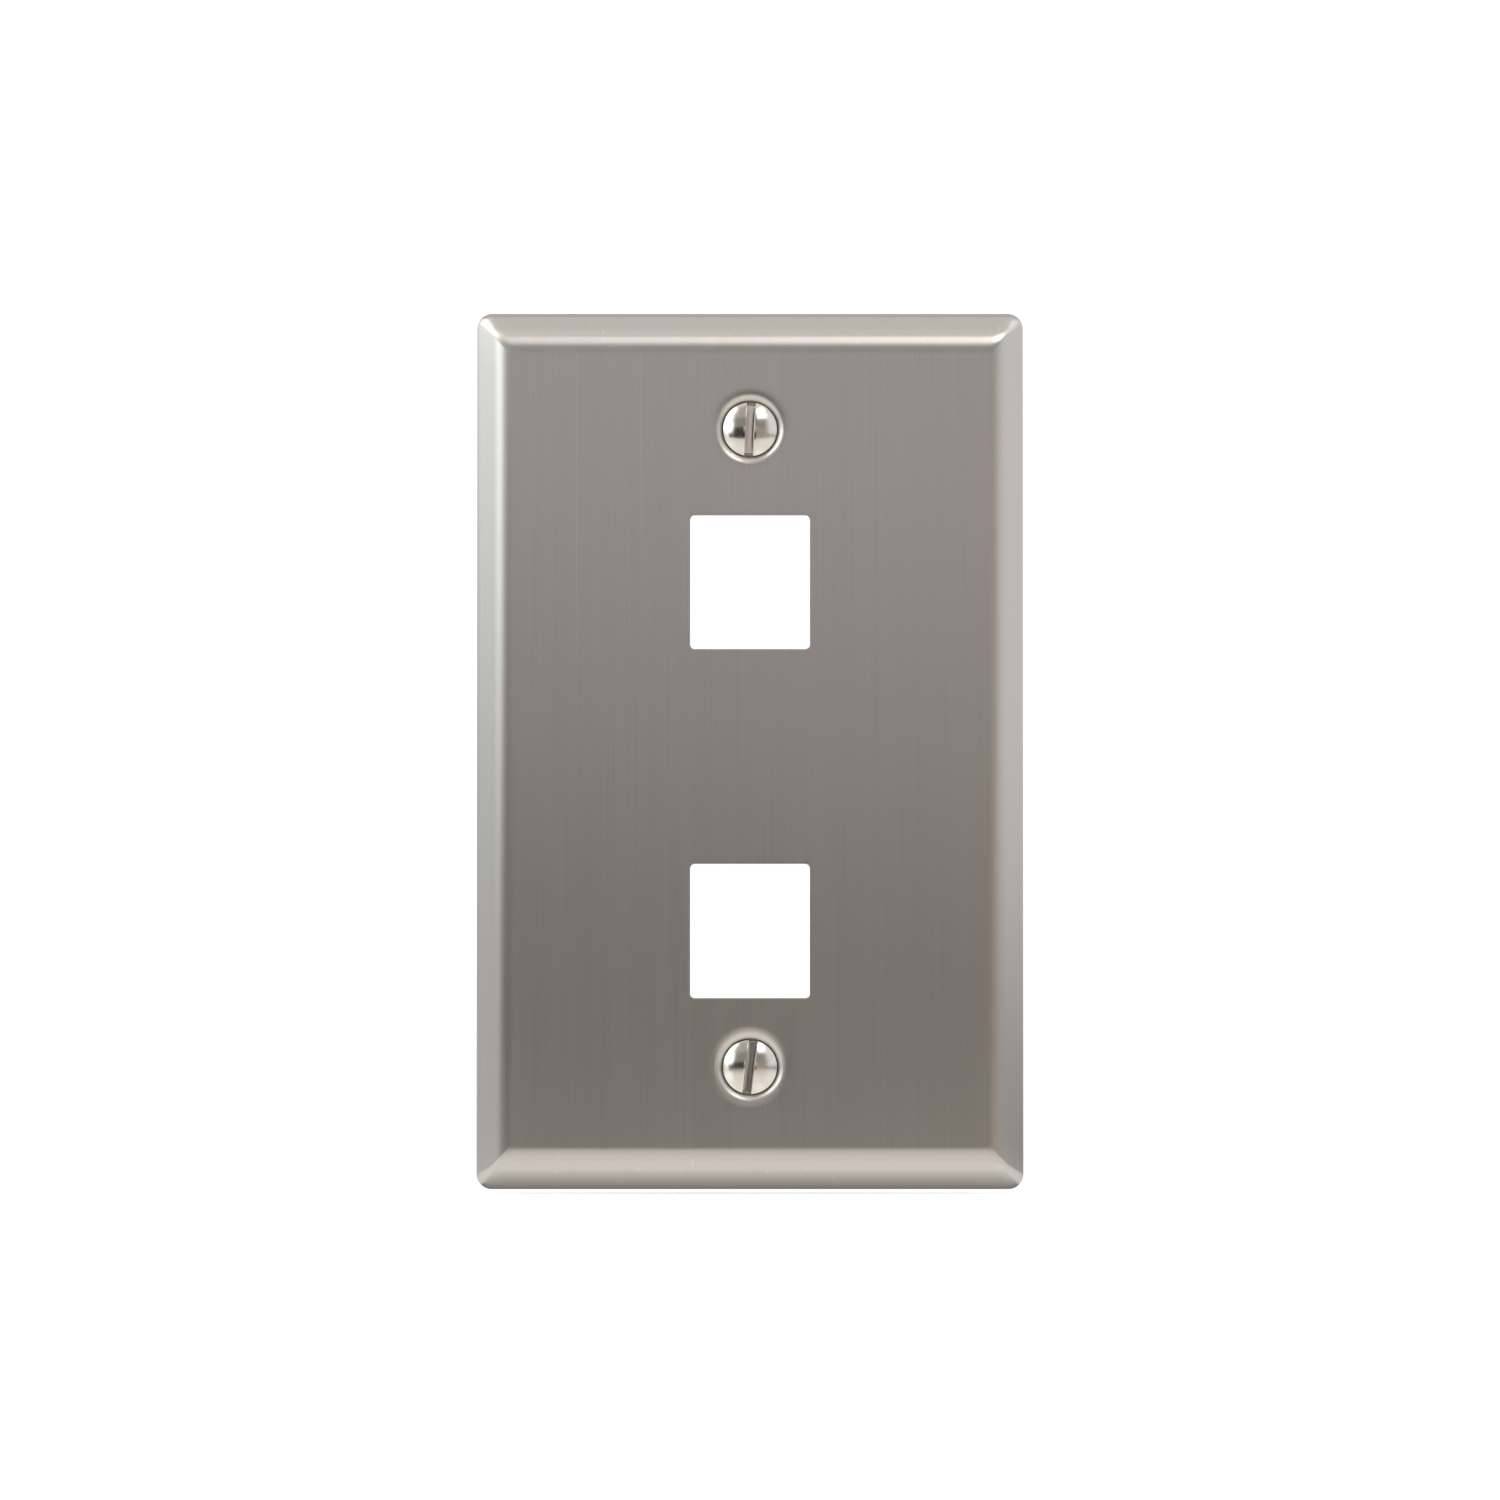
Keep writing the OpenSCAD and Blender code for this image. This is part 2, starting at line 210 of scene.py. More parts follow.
class Nodes:
    """A short way to write a material's nodes."""

    def __init__(self, name, **sockets):
        self.material = bpy.data.materials.new(name)
        self.material.use_nodes = True
        self.tree = self.material.node_tree
        self.shader = self.tree.nodes["Principled BSDF"]
        for socket, value in sockets.items():
            self.shader.inputs[socket.replace("_", " ")].default_value = value

    def add(self, kind, inputs=None, **settings):
        node = self.tree.nodes.new(kind)
        for key, value in settings.items():
            setattr(node, key, value)
        for key, value in (inputs or {}).items():
            self.feed(node.inputs[key], value)
        return node

    def feed(self, socket, value):
        if isinstance(value, bpy.types.NodeSocket):
            self.tree.links.new(value, socket)
        else:
            socket.default_value = value

    def place(self, scale):
        """Object coordinates, stretched: a small scale along an axis draws the pattern out along it."""
        coordinates = self.add("ShaderNodeTexCoord").outputs["Object"]
        return self.add("ShaderNodeMapping", {"Vector": coordinates, "Scale": scale}).outputs["Vector"]

    def noise(self, scale, stretch=(1, 1, 1), detail=3.0, roughness=0.55):
        inputs = {"Vector": self.place(stretch), "Scale": scale, "Detail": detail, "Roughness": roughness}
        return self.add("ShaderNodeTexNoise", inputs).outputs["Fac"]

    def coordinates(self):
        """Object coordinates, with a socket for each axis."""
        place = self.add("ShaderNodeTexCoord").outputs["Object"]
        return self.add("ShaderNodeSeparateXYZ", {"Vector": place}).outputs

    def remap(self, value, low, high, to_low, to_high, kind="LINEAR"):
        inputs = {"Value": value, "From Min": low, "From Max": high, "To Min": to_low, "To Max": to_high}
        return self.add("ShaderNodeMapRange", inputs, interpolation_type=kind).outputs["Result"]

    def smooth(self, value, low, high, to_low, to_high):
        return self.remap(value, low, high, to_low, to_high, "SMOOTHSTEP")

    def scratch(self, across, lowest):
        """A thin upright line at a distance across the part. It fades out low down and stops at the bend."""
        place = self.coordinates()
        aside = self.math("ABSOLUTE", self.math("SUBTRACT", place["X"], across), 0)
        top = (PLATE_H / 2 - END_BEVEL[0]) * MM
        from_below = self.remap(place["Z"], lowest, lowest + 0.02, 0, 1)
        to_top = self.remap(place["Z"], top, top + 0.0005, 1, 0)
        line = self.remap(aside, 0, 0.00015, 1, 0)
        return self.math("MULTIPLY", line, self.math("MULTIPLY", from_below, to_top))

    def math(self, operation, a, b):
        return self.add("ShaderNodeMath", {0: a, 1: b}, operation=operation).outputs["Value"]

    def blend(self, factor, a, b):
        node = self.add("ShaderNodeMix", data_type="RGBA")
        for index, value in ((0, factor), (6, a), (7, b)):
            self.feed(node.inputs[index], value)
        return node.outputs[2]

    def mottle(self, value, low, high, dark, light):
        """The base colour, which goes from dark to light as the value goes from low to high."""
        self.link(Base_Color=self.blend(self.remap(value, low, high, 0, 1), (*dark, 1), (*light, 1)))

    def bump(self, height, distance, strength=1.0):
        inputs = {"Height": height, "Distance": distance, "Strength": strength}
        self.feed(self.shader.inputs["Normal"], self.add("ShaderNodeBump", inputs).outputs["Normal"])

    def link(self, **sockets):
        for socket, value in sockets.items():
            self.feed(self.shader.inputs[socket.replace("_", " ")], value)


# The grain's dark and light streaks, its clouds, and the scratches.
STEEL_COLOURS = (
    (0.585, 0.535, 0.49, 1), (0.635, 0.585, 0.54, 1), (0.60, 0.565, 0.53, 1), (0.80, 0.77, 0.74, 1),
)


def stainless(name, anisotropic, roughness):
    """Vertical brushing: fine streaks, longer marks and scratches, and a reflection that spreads sideways."""
    dark, light, cloudy, scratched = STEEL_COLOURS
    n = Nodes(name, Metallic=1.0, Anisotropic=anisotropic)
    fine = n.noise(6500, (1, 1, 0.006), 2)
    broad = n.noise(1500, (1, 1, 0.008), 3)
    cloud = n.noise(90, (1, 1, 0.6), 3)
    marks = n.remap(n.noise(1800, (1, 1, 0.003), 1, 0.3), 0.76, 0.80, 0, 1)
    grain = n.math("ADD", n.math("MULTIPLY", fine, 0.75), n.math("MULTIPLY", broad, 0.25))
    steel = n.blend(n.remap(grain, 0.3, 0.7, 0, 1), dark, light)
    steel = n.blend(n.remap(cloud, 0.35, 0.65, 0, 0.3), steel, cloudy)
    for across, lowest in SCRATCHES:
        marks = n.math("ADD", marks, n.scratch(across * MM, lowest * MM))
    n.link(Base_Color=n.blend(n.math("MULTIPLY", marks, 0.35), steel, scratched))
    n.link(Roughness=n.remap(grain, 0.3, 0.7, roughness - 0.015, roughness + 0.015))
    tangent = n.add("ShaderNodeTangent", direction_type="UV_MAP", uv_map="across_and_up")
    n.link(Tangent=tangent.outputs["Tangent"])
    n.bump(grain, 0.000002)
    return n.material


def painted_crevice_shade():
    """The dull ring under a screw's head, where the punch marks are: painted shade of the crevice round the
    head, with a little mottling.
    """
    n = Nodes("painted_crevice_shade", Metallic=0.7)
    # The dark base colour is painted shade for the crevice; the noise only mottles it.
    shade_mottle = n.noise(4000, detail=4)
    n.mottle(shade_mottle, 0.35, 0.65, (0.12, 0.11, 0.085), (0.26, 0.24, 0.20))
    n.link(Roughness=n.remap(shade_mottle, 0.3, 0.7, 0.5, 0.7))
    n.bump(shade_mottle, 0.00001)
    return n.material


def mill_stainless():
    """The unbrushed back of the sheet."""
    n = Nodes("mill_stainless", Metallic=1.0)
    cloud = n.noise(220, detail=5)
    fine = n.noise(6000, detail=2)
    n.mottle(cloud, 0.35, 0.65, (0.53, 0.515, 0.495), (0.58, 0.565, 0.545))
    n.link(Roughness=n.remap(cloud, 0.3, 0.7, 0.32, 0.46))
    n.bump(fine, 0.000003)
    return n.material


def nickel():
    """Polished nickel plate, slightly uneven, with hairline marks."""
    n = Nodes("nickel_plate", Metallic=1.0)
    cloud = n.noise(900, detail=3)
    hair = n.noise(7000, (1, 1, 0.05), 2)
    n.mottle(cloud, 0.3, 0.7, (0.70, 0.645, 0.575), (0.76, 0.71, 0.64))
    n.link(Roughness=n.remap(hair, 0.3, 0.75, 0.13, 0.2))
    n.bump(cloud, 0.000002)
    return n.material


def moulded_black():
    """Black ABS with a fine moulded texture."""
    n = Nodes("black_abs", Specular_IOR_Level=0.45)
    grain = n.noise(5000, detail=3)
    cloud = n.noise(350, detail=3)
    n.mottle(cloud, 0.35, 0.65, (0.014, 0.014, 0.015), (0.024, 0.024, 0.026))
    n.link(Roughness=n.remap(cloud, 0.3, 0.7, 0.42, 0.58))
    n.bump(grain, 0.00001, 0.6)
    return n.material


def natural_nylon():
    """Natural nylon, milky and slightly waxy."""
    n = Nodes("natural_nylon", Subsurface_Weight=0.25, Subsurface_Scale=0.0008)
    cloud = n.noise(700, detail=3)
    n.mottle(cloud, 0.35, 0.65, (0.74, 0.70, 0.60), (0.82, 0.79, 0.70))
    n.link(Roughness=n.remap(cloud, 0.3, 0.7, 0.34, 0.48))
    n.bump(n.noise(3500, detail=2), 0.000006)
    return n.material


def copper_flash():
    """Copper-flashed steel, darker where the flash is thin."""
    n = Nodes("copper_flash", Metallic=1.0)
    cloud = n.noise(1500, detail=4)
    n.mottle(cloud, 0.35, 0.65, (0.55, 0.30, 0.19), (0.80, 0.47, 0.32))
    n.link(Roughness=n.remap(cloud, 0.3, 0.7, 0.24, 0.42))
    n.bump(n.noise(6000, detail=2), 0.000004)
    return n.material


def spring_steel():
    """Dark phosphated spring steel."""
    n = Nodes("spring_steel", Metallic=1.0)
    cloud = n.noise(1800, detail=5)
    n.mottle(cloud, 0.35, 0.65, (0.12, 0.12, 0.13), (0.24, 0.24, 0.25))
    n.link(Roughness=n.remap(cloud, 0.3, 0.7, 0.34, 0.55))
    n.bump(cloud, 0.000006)
    return n.material


STAINLESS, PUNCHED = stainless("brushed_stainless", 0.88, 0.30), stainless("punched_stainless", 0.2, 0.34)
# The seat material is painted shade for the crevice round each screw head.
MILL, SEAT = mill_stainless(), painted_crevice_shade()
NICKEL = nickel()
BLACK, NYLON, COPPER, SPRING = moulded_black(), natural_nylon(), copper_flash(), spring_steel()


# ---------------------------------------------------------------- faceplate

SIDE_POINTS, END_POINTS, CORNER_STEPS = 24, 16, 12


def rounded_ring(side, end, r, heights):
    """A rounded rectangle of the given half sizes. heights are its heights at its sides and at its ends."""
    def corner(quadrant, step):
        across, up = ((1, 1), (-1, 1), (-1, -1), (1, -1))[quadrant % 4]
        a = math.radians(90 * (quadrant + step / CORNER_STEPS))
        return across * (side - r) + r * math.cos(a), up * (end - r) + r * math.sin(a)

    ring = []
    for quadrant in range(4):
        for step in range(CORNER_STEPS + 1):
            share = math.sin(math.radians(90 * (quadrant + step / CORNER_STEPS))) ** 2
            ring.append((*corner(quadrant, step), heights[0] * (1 - share) + heights[1] * share))
        gaps = END_POINTS if quadrant % 2 == 0 else SIDE_POINTS
        last = np.array(ring[-1])
        after = np.array((*corner(quadrant + 1, 0), ring[-1][2]))
        ring.extend(tuple(last + (after - last) * k / gaps) for k in range(1, gaps))
    return ring


def edge_section(inset, turned, bevel):
    """The edge in section, from the wall up to the face, as (distance in from the rim, height). inset moves
    it into the sheet. turned is the rounding of the cut edge on the wall: positive outside the sheet, and
    negative inside it."""
    width, bend_r = bevel
    knee, bend = np.array([KNEE_R, RIM_H]), np.array([width, DEPTH - bend_r])
    apart = bend - knee
    lean = math.asin((bend_r - KNEE_R) / np.linalg.norm(apart))
    slope = math.degrees(math.atan2(apart[1], apart[0]) + lean)
    size = abs(turned)
    quarter = np.radians([0, 30, 60, 90])
    cut = [(inset + turned * (1 - math.sin(a)), size * (1 - math.cos(a))) for a in quarter]
    wall = [(inset, size + (RIM_H - size) * k / 4) for k in (1, 2, 3)]
    knee_arc = arc(knee, KNEE_R - inset, 180, 90 + slope, 8)
    bend_arc = arc(bend, bend_r - inset, 90 + slope, 90, 20)
    start, end = np.array(knee_arc[-1]), np.array(bend_arc[0])
    straight = [tuple(start * (1 - k / 5) + end * k / 5) for k in (1, 2, 3, 4)]
    return cut + wall + knee_arc + straight + bend_arc + [(width + GUARD, DEPTH - inset)]


def border(shell, inset, turned, corners, tag):
    """The bevelled border of one surface of the sheet, as rings. corners are its corner radii at the rim and
    at the face."""
    sides, ends = edge_section(inset, turned, SIDE_BEVEL), edge_section(inset, turned, END_BEVEL)
    rings = []
    for (d_side, h_side), (d_end, h_end) in zip(sides, ends):
        r = np.interp(d_side, [inset, SIDE_BEVEL[0]], corners)
        ring = rounded_ring(PLATE_W / 2 - d_side, PLATE_H / 2 - d_end, r, (h_side, h_end))
        rings.append(shell.ring(ring))
    shell.bridges(rings, tag)
    return rings


def window_rings(shell, v, tags):
    """A punched window: rolled over in front, cut through, and sharp behind."""
    roll_w, roll_h, burr = 0.1, 0.08, 0.04
    section = [(roll_w + GUARD, DEPTH)]
    quarter = np.radians(range(0, 91, 15))
    section += [(roll_w * (1 - math.sin(a)), DEPTH - roll_h * (1 - math.cos(a))) for a in quarter]
    section += [(0, DEPTH - SHEET_T / 2), (0, DEPTH - SHEET_T + burr), (burr, DEPTH - SHEET_T)]
    section += [(burr + GUARD, DEPTH - SHEET_T)]
    rings = []
    for out, height in section:
        flat = rounded_ring(WINDOW_W / 2 + out, WINDOW_H / 2 + out, WINDOW_CORNER_R + out, (height, height))
        rings.append(shell.ring([(pu, pv + v, pw) for pu, pv, pw in flat]))
    shell.bridges(rings[:-3], tags[0])
    shell.bridges(rings[-4:], tags[1])
    return rings[0], rings[-1]


def dimple_rings(shell, v, tags):
    """A countersunk dimple: the face drawn in a little round it, a bend, an 82 degree seat, the hole, and the
    boss behind."""
    lean = 90 - math.degrees(SEAT_HALF_ANGLE)
    draw, draw_angle, sink = 1.0, 4.6, 0.04
    bend_u = SEAT_R + DIMPLE_BEND_R * math.cos(SEAT_HALF_ANGLE)
    front = arc((bend_u, DEPTH - sink - DIMPLE_BEND_R), DIMPLE_BEND_R, 90 + draw_angle, 90 + lean, 12)
    inner, outer = front[0], (front[0][0] + draw, DEPTH)
    across, down = inner[0] - outer[0], inner[1] - outer[1]
    blend = [(outer[0] + across * t, outer[1] + down * t * t) for t in np.linspace(0, 1, 9)[1:-1]]
    back = arc((bend_u, DEPTH - DIMPLE_BEND_R), DIMPLE_BEND_R - SHEET_T, 90, 90 + lean, 8)
    hole_top = front[-1][1] - (front[-1][0] - HOLE_R) / math.tan(SEAT_HALF_ANGLE)
    end = DEPTH - DIMPLE_DEPTH
    boss_r = back[-1][0] - (back[-1][1] - end) * math.tan(SEAT_HALF_ANGLE)
    section = [(outer[0] + GUARD, DEPTH), outer] + blend + front
    seat_start = len(section) - 1
    # The band from here out to the seat's edge, under the head's rim, carries painted shade for the crevice.
    painted_shade_r = SEAT_R - 0.35
    section += [(painted_shade_r, front[-1][1] - (front[-1][0] - painted_shade_r) / math.tan(SEAT_HALF_ANGLE))]
    section += [(HOLE_R + 0.12, hole_top + 0.14), (HOLE_R + 0.03, hole_top), (HOLE_R, hole_top - 0.1)]
    section += [(HOLE_R, end + 0.05), (HOLE_R + 0.05, end), (boss_r - 0.05, end), (boss_r + 0.02, end + 0.06)]
    seat_end = seat_start + 5
    bend_start = seat_start - len(front) + 1
    section += back[::-1] + [(outer[0] + GUARD, DEPTH - SHEET_T)]
    turns = np.linspace(0, 2 * math.pi, 160, endpoint=False)
    rings = [shell.ring([(r * math.cos(t), v + r * math.sin(t), h) for t in turns]) for r, h in section]
    front_tag, behind_tag, crevice_tag, punched_tag = tags
    shell.bridges(rings[:bend_start + 1], front_tag)
    shell.bridges(rings[bend_start:seat_start + 1], punched_tag)
    shell.bridges(rings[seat_start:seat_start + 2], crevice_tag)
    shell.bridges(rings[seat_start + 1:seat_end + 1], punched_tag)
    shell.bridges(rings[seat_end:], behind_tag)
    return rings[0], rings[-1], outer[0] + GUARD


def screw_height(side):
    low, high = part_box(side + "_screw")
    return (low.z + high.z) / 2 / MM


def faceplate():
    shell = Shell()
    screw_v = [screw_height(side) for side in ("upper", "lower")]
    front, behind, crevice, punched = 0, 1, 2, 3
    outer = border(shell, 0, 0.12, (RIM_CORNER_R, FACE_CORNER_R), front)
    inner = border(shell, SHEET_T, -0.08, (RIM_CORNER_R - SHEET_T, 0.3), behind)
    shell.bridge(outer[0], inner[0], behind)
    windows = [window_rings(shell, v, (front, behind)) for v in WINDOW_V]
    dimples = [dimple_rings(shell, v, (front, behind, crevice, punched)) for v in screw_v]
    dimple_r = dimples[0][2]

    def within(u, v, half_w, half_h):
        return abs(u) < half_w and abs(v) < half_h

    def clear_of(u, v, clear=1.5):
        on_face = within(u, v, PLATE_W / 2 - SIDE_BEVEL[0] - clear, PLATE_H / 2 - END_BEVEL[0] - clear)
        in_window = any(within(u, v - c, WINDOW_W / 2 + clear, WINDOW_H / 2 + clear) for c in WINDOW_V)
        return on_face and not in_window and all(math.hypot(u, v - c) > dimple_r + clear for c in screw_v)

    holes = windows + dimples
    shell.fill([outer[-1]] + [hole[0] for hole in holes], DEPTH, clear_of, front)
    shell.fill([inner[-1]] + [hole[1] for hole in holes], DEPTH - SHEET_T, clear_of, behind)
    # The third material paints shade into the crevice band under each screw head.
    materials = [STAINLESS, MILL, SEAT, PUNCHED]
    return shell.make("faceplate_sheet", "plate", materials, ["faceplate"])


# ---------------------------------------------------------------- screws

def slot_columns(rim_r):
    """Columns that run along the slot, from the right of the head to its left. Each is (distance across,
    share of the way down the slot's wall)."""
    half, round_r = SLOT_W / 2, 0.06
    spread = [math.cos(math.radians(a)) * rim_r for a in range(0, 81, 5)]
    right = [(x, 0.0) for x in spread if x > half + round_r + 0.1]
    right += [(half + round_r, 0.0), (half + 0.028, 0.006), (half + 0.008, 0.02), (half, 0.05)]
    right += [(half, 0.3), (half, 0.65), (half - 0.01, 0.94), (half - 0.05, 0.985), (half - 0.12, 1.0)]
    return right + [(0.0, 1.0)] + [(-x, share) for x, share in right[::-1]]


def slotted_dome(shell, head_r, under):
    """The dome with its slot, down to the head's side. Returns its outline as a ring, and the (angle, radius,
    height) of each of that ring's points."""
    under_r, under_h = [r for r, _ in under], [h for _, h in under]
    rim_r = under_r[-1]
    dome_r = (head_r ** 2 + DOME_H ** 2) / (2 * DOME_H)
    floor = DOME_H - SLOT_DEPTH

    def cut(r, share):
        """The height at a radius of a column that is a share of the way down the slot's wall."""
        dome = DOME_H - dome_r + math.sqrt(max(dome_r ** 2 - r ** 2, 0))
        return dome * (1 - share) + floor * share

    def column_end(share):
        """The radius at which a column meets the head's side."""
        reach_low, reach_high = NECK_R, rim_r
        for _ in range(HALVINGS):
            middle = (reach_low + reach_high) / 2
            inside = cut(middle, share) > np.interp(middle, under_r[:2] + [rim_r], under_h[:2] + [0.0])
            reach_low, reach_high = (middle, reach_high) if inside else (reach_low, middle)
        return reach_low

    rows = [math.sin(math.radians(a)) for a in range(-90, 91, 6)]
    ends, top = [], []
    for x, share in slot_columns(rim_r):
        reach = rim_r if share == 0 else max(column_end(share), abs(x))
        y_end = math.sqrt(max(reach ** 2 - x ** 2, 0))
        line = [(x, row * y_end, cut(math.hypot(x, row * y_end), share)) for row in rows]
        top.append(shell.ring(line))
        ends.append((math.atan2(y_end, x), reach, line[-1][2]))
    shell.bridges(top, closed=False)
    # Round the head's rim, the columns' far ends come first and then their near ends.
    rim = [t[-1] for t in top] + [t[0] for t in top[::-1][1:-1]]
    around = ends + [(-a, r, h) for a, r, h in ends[::-1][1:-1]]
    return rim, around


def head_side(shell, around, under, steps=8):
    """Rings from the dome's outline down the head's side to the neck."""
    under_r, under_h = [r for r, _ in under], [h for _, h in under]
    places = range(len(under))
    rings = []
    for step in range(1, steps + 1):
        ring = []
        for angle, _, height in around:
            # A point goes down the head's side from where its column ends.
            place = np.interp(height, under_h, places) * (1 - step / steps)
            r = np.interp(place, places, under_r)
            ring.append((r * math.cos(angle), r * math.sin(angle), np.interp(place, places, under_h)))
        rings.append(shell.ring(ring))
    return rings


def thread(shell, angles, top, tip):
    """Rings down a helical thread, which grows out of the neck and is chamfered at the tip."""
    rings = []
    steps = int((top - tip) / PITCH * RINGS_PER_TURN)
    for height in np.linspace(top, tip, steps + 1)[1:]:
        grown = min((top - height) / (PITCH * THREAD_RUNOUT), 1)
        limit = THREAD_R - max(TIP_CHAMFER - (height - tip), 0)
        ring = []
        for a in angles:
            turn = (height / PITCH - a / (2 * math.pi)) % 1
            crest = min(max(abs(2 * turn - 1) * (1 + 2 * THREAD_FLAT) - THREAD_FLAT, 0), 1)
            r = NECK_R + (THREAD_ROOT_R + (THREAD_R - THREAD_ROOT_R) * crest - NECK_R) * grown
            r = min(r, limit)
            ring.append((r * math.cos(a), r * math.sin(a), height))
        rings.append(shell.ring(ring))
    return rings


def screw(side):
    """A slotted oval-head screw with a rolled 6-32 thread. Its own heights start at the top of the head's
    edge."""
    low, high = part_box(side + "_screw")
    head_r = (high.x - low.x) / 2 / MM
    edge_height = -low.y / MM - DOME_H
    tip = -(high.y / MM + edge_height)
    cone_end = -HEAD_EDGE_T - (head_r - NECK_R) / math.tan(SEAT_HALF_ANGLE)
    thread_top = -edge_height + 0.25
    # The head's side, from the neck up to the dome, as (radius, height).
    under = [(NECK_R, cone_end), (head_r - 0.03, -HEAD_EDGE_T - 0.03), (head_r, -HEAD_EDGE_T)]
    under += [(head_r, -0.03), (head_r - 0.015, 0.0)]

    shell = Shell()
    rim, around = slotted_dome(shell, head_r, under)
    angles = [a for a, _, _ in around]
    rings = [rim] + head_side(shell, around, under)
    for height in np.linspace(cone_end, thread_top, 6)[1:]:
        rings.append(shell.ring([(NECK_R * math.cos(a), NECK_R * math.sin(a), height) for a in angles]))
    rings += thread(shell, angles, thread_top, tip)
    shell.bridges(rings)
    shell.cap(rings[-1], (0, 0, tip))
    lean, v = -math.radians(SLOT_LEAN[side]), screw_height(side)
    c, s = math.cos(lean), math.sin(lean)
    shell.points = [(x * c - y * s, x * s + y * c + v, h + edge_height) for x, y, h in shell.points]
    name, body = side + "_oval_head_screw", side + "_screw"
    return shell.make(name, body, [NICKEL], [side + "_screw"])


# ---------------------------------------------------------------- the pieces behind

def soften(node, material, width, segments=3, angle=35):
    """Keeps a CAD node's shape, and rounds its edges with modifiers."""
    piece = frame["nodes"][node]
    piece.data.materials.clear()
    piece.data.materials.append(material)
    weld = piece.modifiers.new("weld", "WELD")
    weld.merge_threshold = 0.000002
    flat = piece.modifiers.new("flat", "DECIMATE")
    flat.decimate_type = "DISSOLVE"
    flat.angle_limit = math.radians(1)
    bevel = piece.modifiers.new("bevel", "BEVEL")
    bevel.width = width * MM
    bevel.segments = segments
    bevel.limit_method = "ANGLE"
    bevel.angle_limit = math.radians(angle)
    bevel.harden_normals = True
    return piece


def rear_pieces():
    for side in ("upper", "lower"):
        soften(side + "_port_housing", BLACK, 0.18)
        soften(side + "_screw_retainer", NYLON, 0.12)
        for hand in ("left", "right"):
            soften(f"{side}_{hand}_weld_stud", COPPER, 0.1)
            soften(f"{side}_{hand}_push_nut", SPRING, 0.05, 2)


# ---------------------------------------------------------------- stage

# How bright each panel is. A panel that fades has the tones at both ends of its fade.
TONES = {
    "table": (1.02,), "contact_shadow": (1.0, 0.3), "back_sheet": (1.0,), "back_high": (0.3,), "room": (1.3,),
    "ceiling": (0.83, 0.25), "ceiling_front": (0.45,), "left_wall": (0.68, 1.35), "right_wall": (0.1, 0.97),
    "front_left": (0.03,), "front_right": (0.39,), "front_centre": (0.0, 0.68), "front_high": (0.28,),
    "left_softbox": (3.2,), "upper_left_softbox": (4.0,), "upper_right_softbox": (4.5,),
}
COLOURS = {
    "table": (1.0, 0.99, 0.97), "left_wall": (0.86, 0.94, 1.0), "left_softbox": (0.86, 0.94, 1.0),
    "upper_left_softbox": (0.95, 0.98, 1.0), "right_wall": (0.9, 0.95, 1.0), "front_right": (1.0, 0.9, 0.72),
    "front_centre": (1.0, 0.93, 1.0),
}


def glow(name, fade=None, soft=None, clear=None):
    """A glowing material. fade is an axis and the range along it over which the tone changes. soft is half
    the panel's width, half its height, and the pair of widths over which its edges turn clear. clear is an
    axis and the range along it over which the panel comes in from clear."""
    n = Nodes(name + "_glow")
    n.tree.nodes.remove(n.shader)
    place = n.coordinates()
    tone = TONES[name][0]
    if fade:
        axis, low, high = fade
        tone = n.smooth(place[axis], low, high, *TONES[name])
    colour = (*COLOURS.get(name, (1, 1, 1)), 1)
    shader = n.add("ShaderNodeEmission", {"Color": colour, "Strength": tone}).outputs["Emission"]
    mask = None
    if soft:
        half_w, half_h, (edge_w, edge_h) = soft
        across = n.smooth(n.math("ABSOLUTE", place["X"], 0), half_w - edge_w, half_w, 1, 0)
        up = n.smooth(n.math("ABSOLUTE", place["Y"], 0), half_h - edge_h, half_h, 1, 0)
        mask = n.math("MULTIPLY", across, up)
    if clear:
        axis, low, high = clear
        mask = n.smooth(place[axis], low, high, 0, 1)
    if mask:
        nothing = n.add("ShaderNodeBsdfTransparent").outputs["BSDF"]
        shader = n.add("ShaderNodeMixShader", {0: mask, 1: nothing, 2: shader}).outputs["Shader"]
    n.feed(n.tree.nodes["Material Output"].inputs["Surface"], shader)
    return n.material


def lit_gloss(name):
    """A bright surface under a glossy coat, as a lit white acrylic table is."""
    n = Nodes(name + "_gloss", Base_Color=(0, 0, 0, 1), Specular_IOR_Level=0.0, Coat_Weight=1.0)
    n.link(Coat_Roughness=0.05)
    n.link(Emission_Color=(*COLOURS.get(name, (1, 1, 1)), 1), Emission_Strength=TONES[name][0])
    return n.material


def stage_piece(name, mesh, material, reflected_only=True):
    """A stage piece. Those that only reflections see give the metal something to mirror."""
    mesh.materials.append(material)
    piece = bpy.data.objects.new(name, mesh)
    bpy.context.scene.collection.objects.link(piece)
    if reflected_only:
        for kind in ("camera", "diffuse", "shadow", "transmission"):
            setattr(piece, "visible_" + kind, False)
    return piece


def panel(name, corners, material, reflected_only=True):
    mesh = bpy.data.meshes.new(name)
    mesh.from_pydata(corners, [], [tuple(range(len(corners)))])
    return stage_piece(name, mesh, material, reflected_only)


def softbox(name, azimuth, elevation, distance, width, height, edge):
    """A light aimed at the plate, with a soft edge. Its direction is in degrees, to the right of straight
    ahead and up."""
    a, e = math.radians(azimuth), math.radians(elevation)
    place = Vector((math.cos(e) * math.sin(a), -math.cos(e) * math.cos(a), math.sin(e))) * distance
    corners = [(x * width / 2, y * height / 2, 0) for x, y in ((-1, -1), (1, -1), (1, 1), (-1, 1))]
    piece = panel(name, corners, glow(name, soft=(width / 2, height / 2, edge)))
    piece.location = place
    piece.rotation_euler = place.to_track_quat("Z", "Y").to_euler()


def upright_panel(name, start, end, foot, top, fade=None, clear=None):
    """An upright panel over a line on the ground, from start to end."""
    corners = [(*start, foot), (*end, foot), (*end, top), (*start, top)]
    panel(name, corners, glow(name, fade, clear=clear))


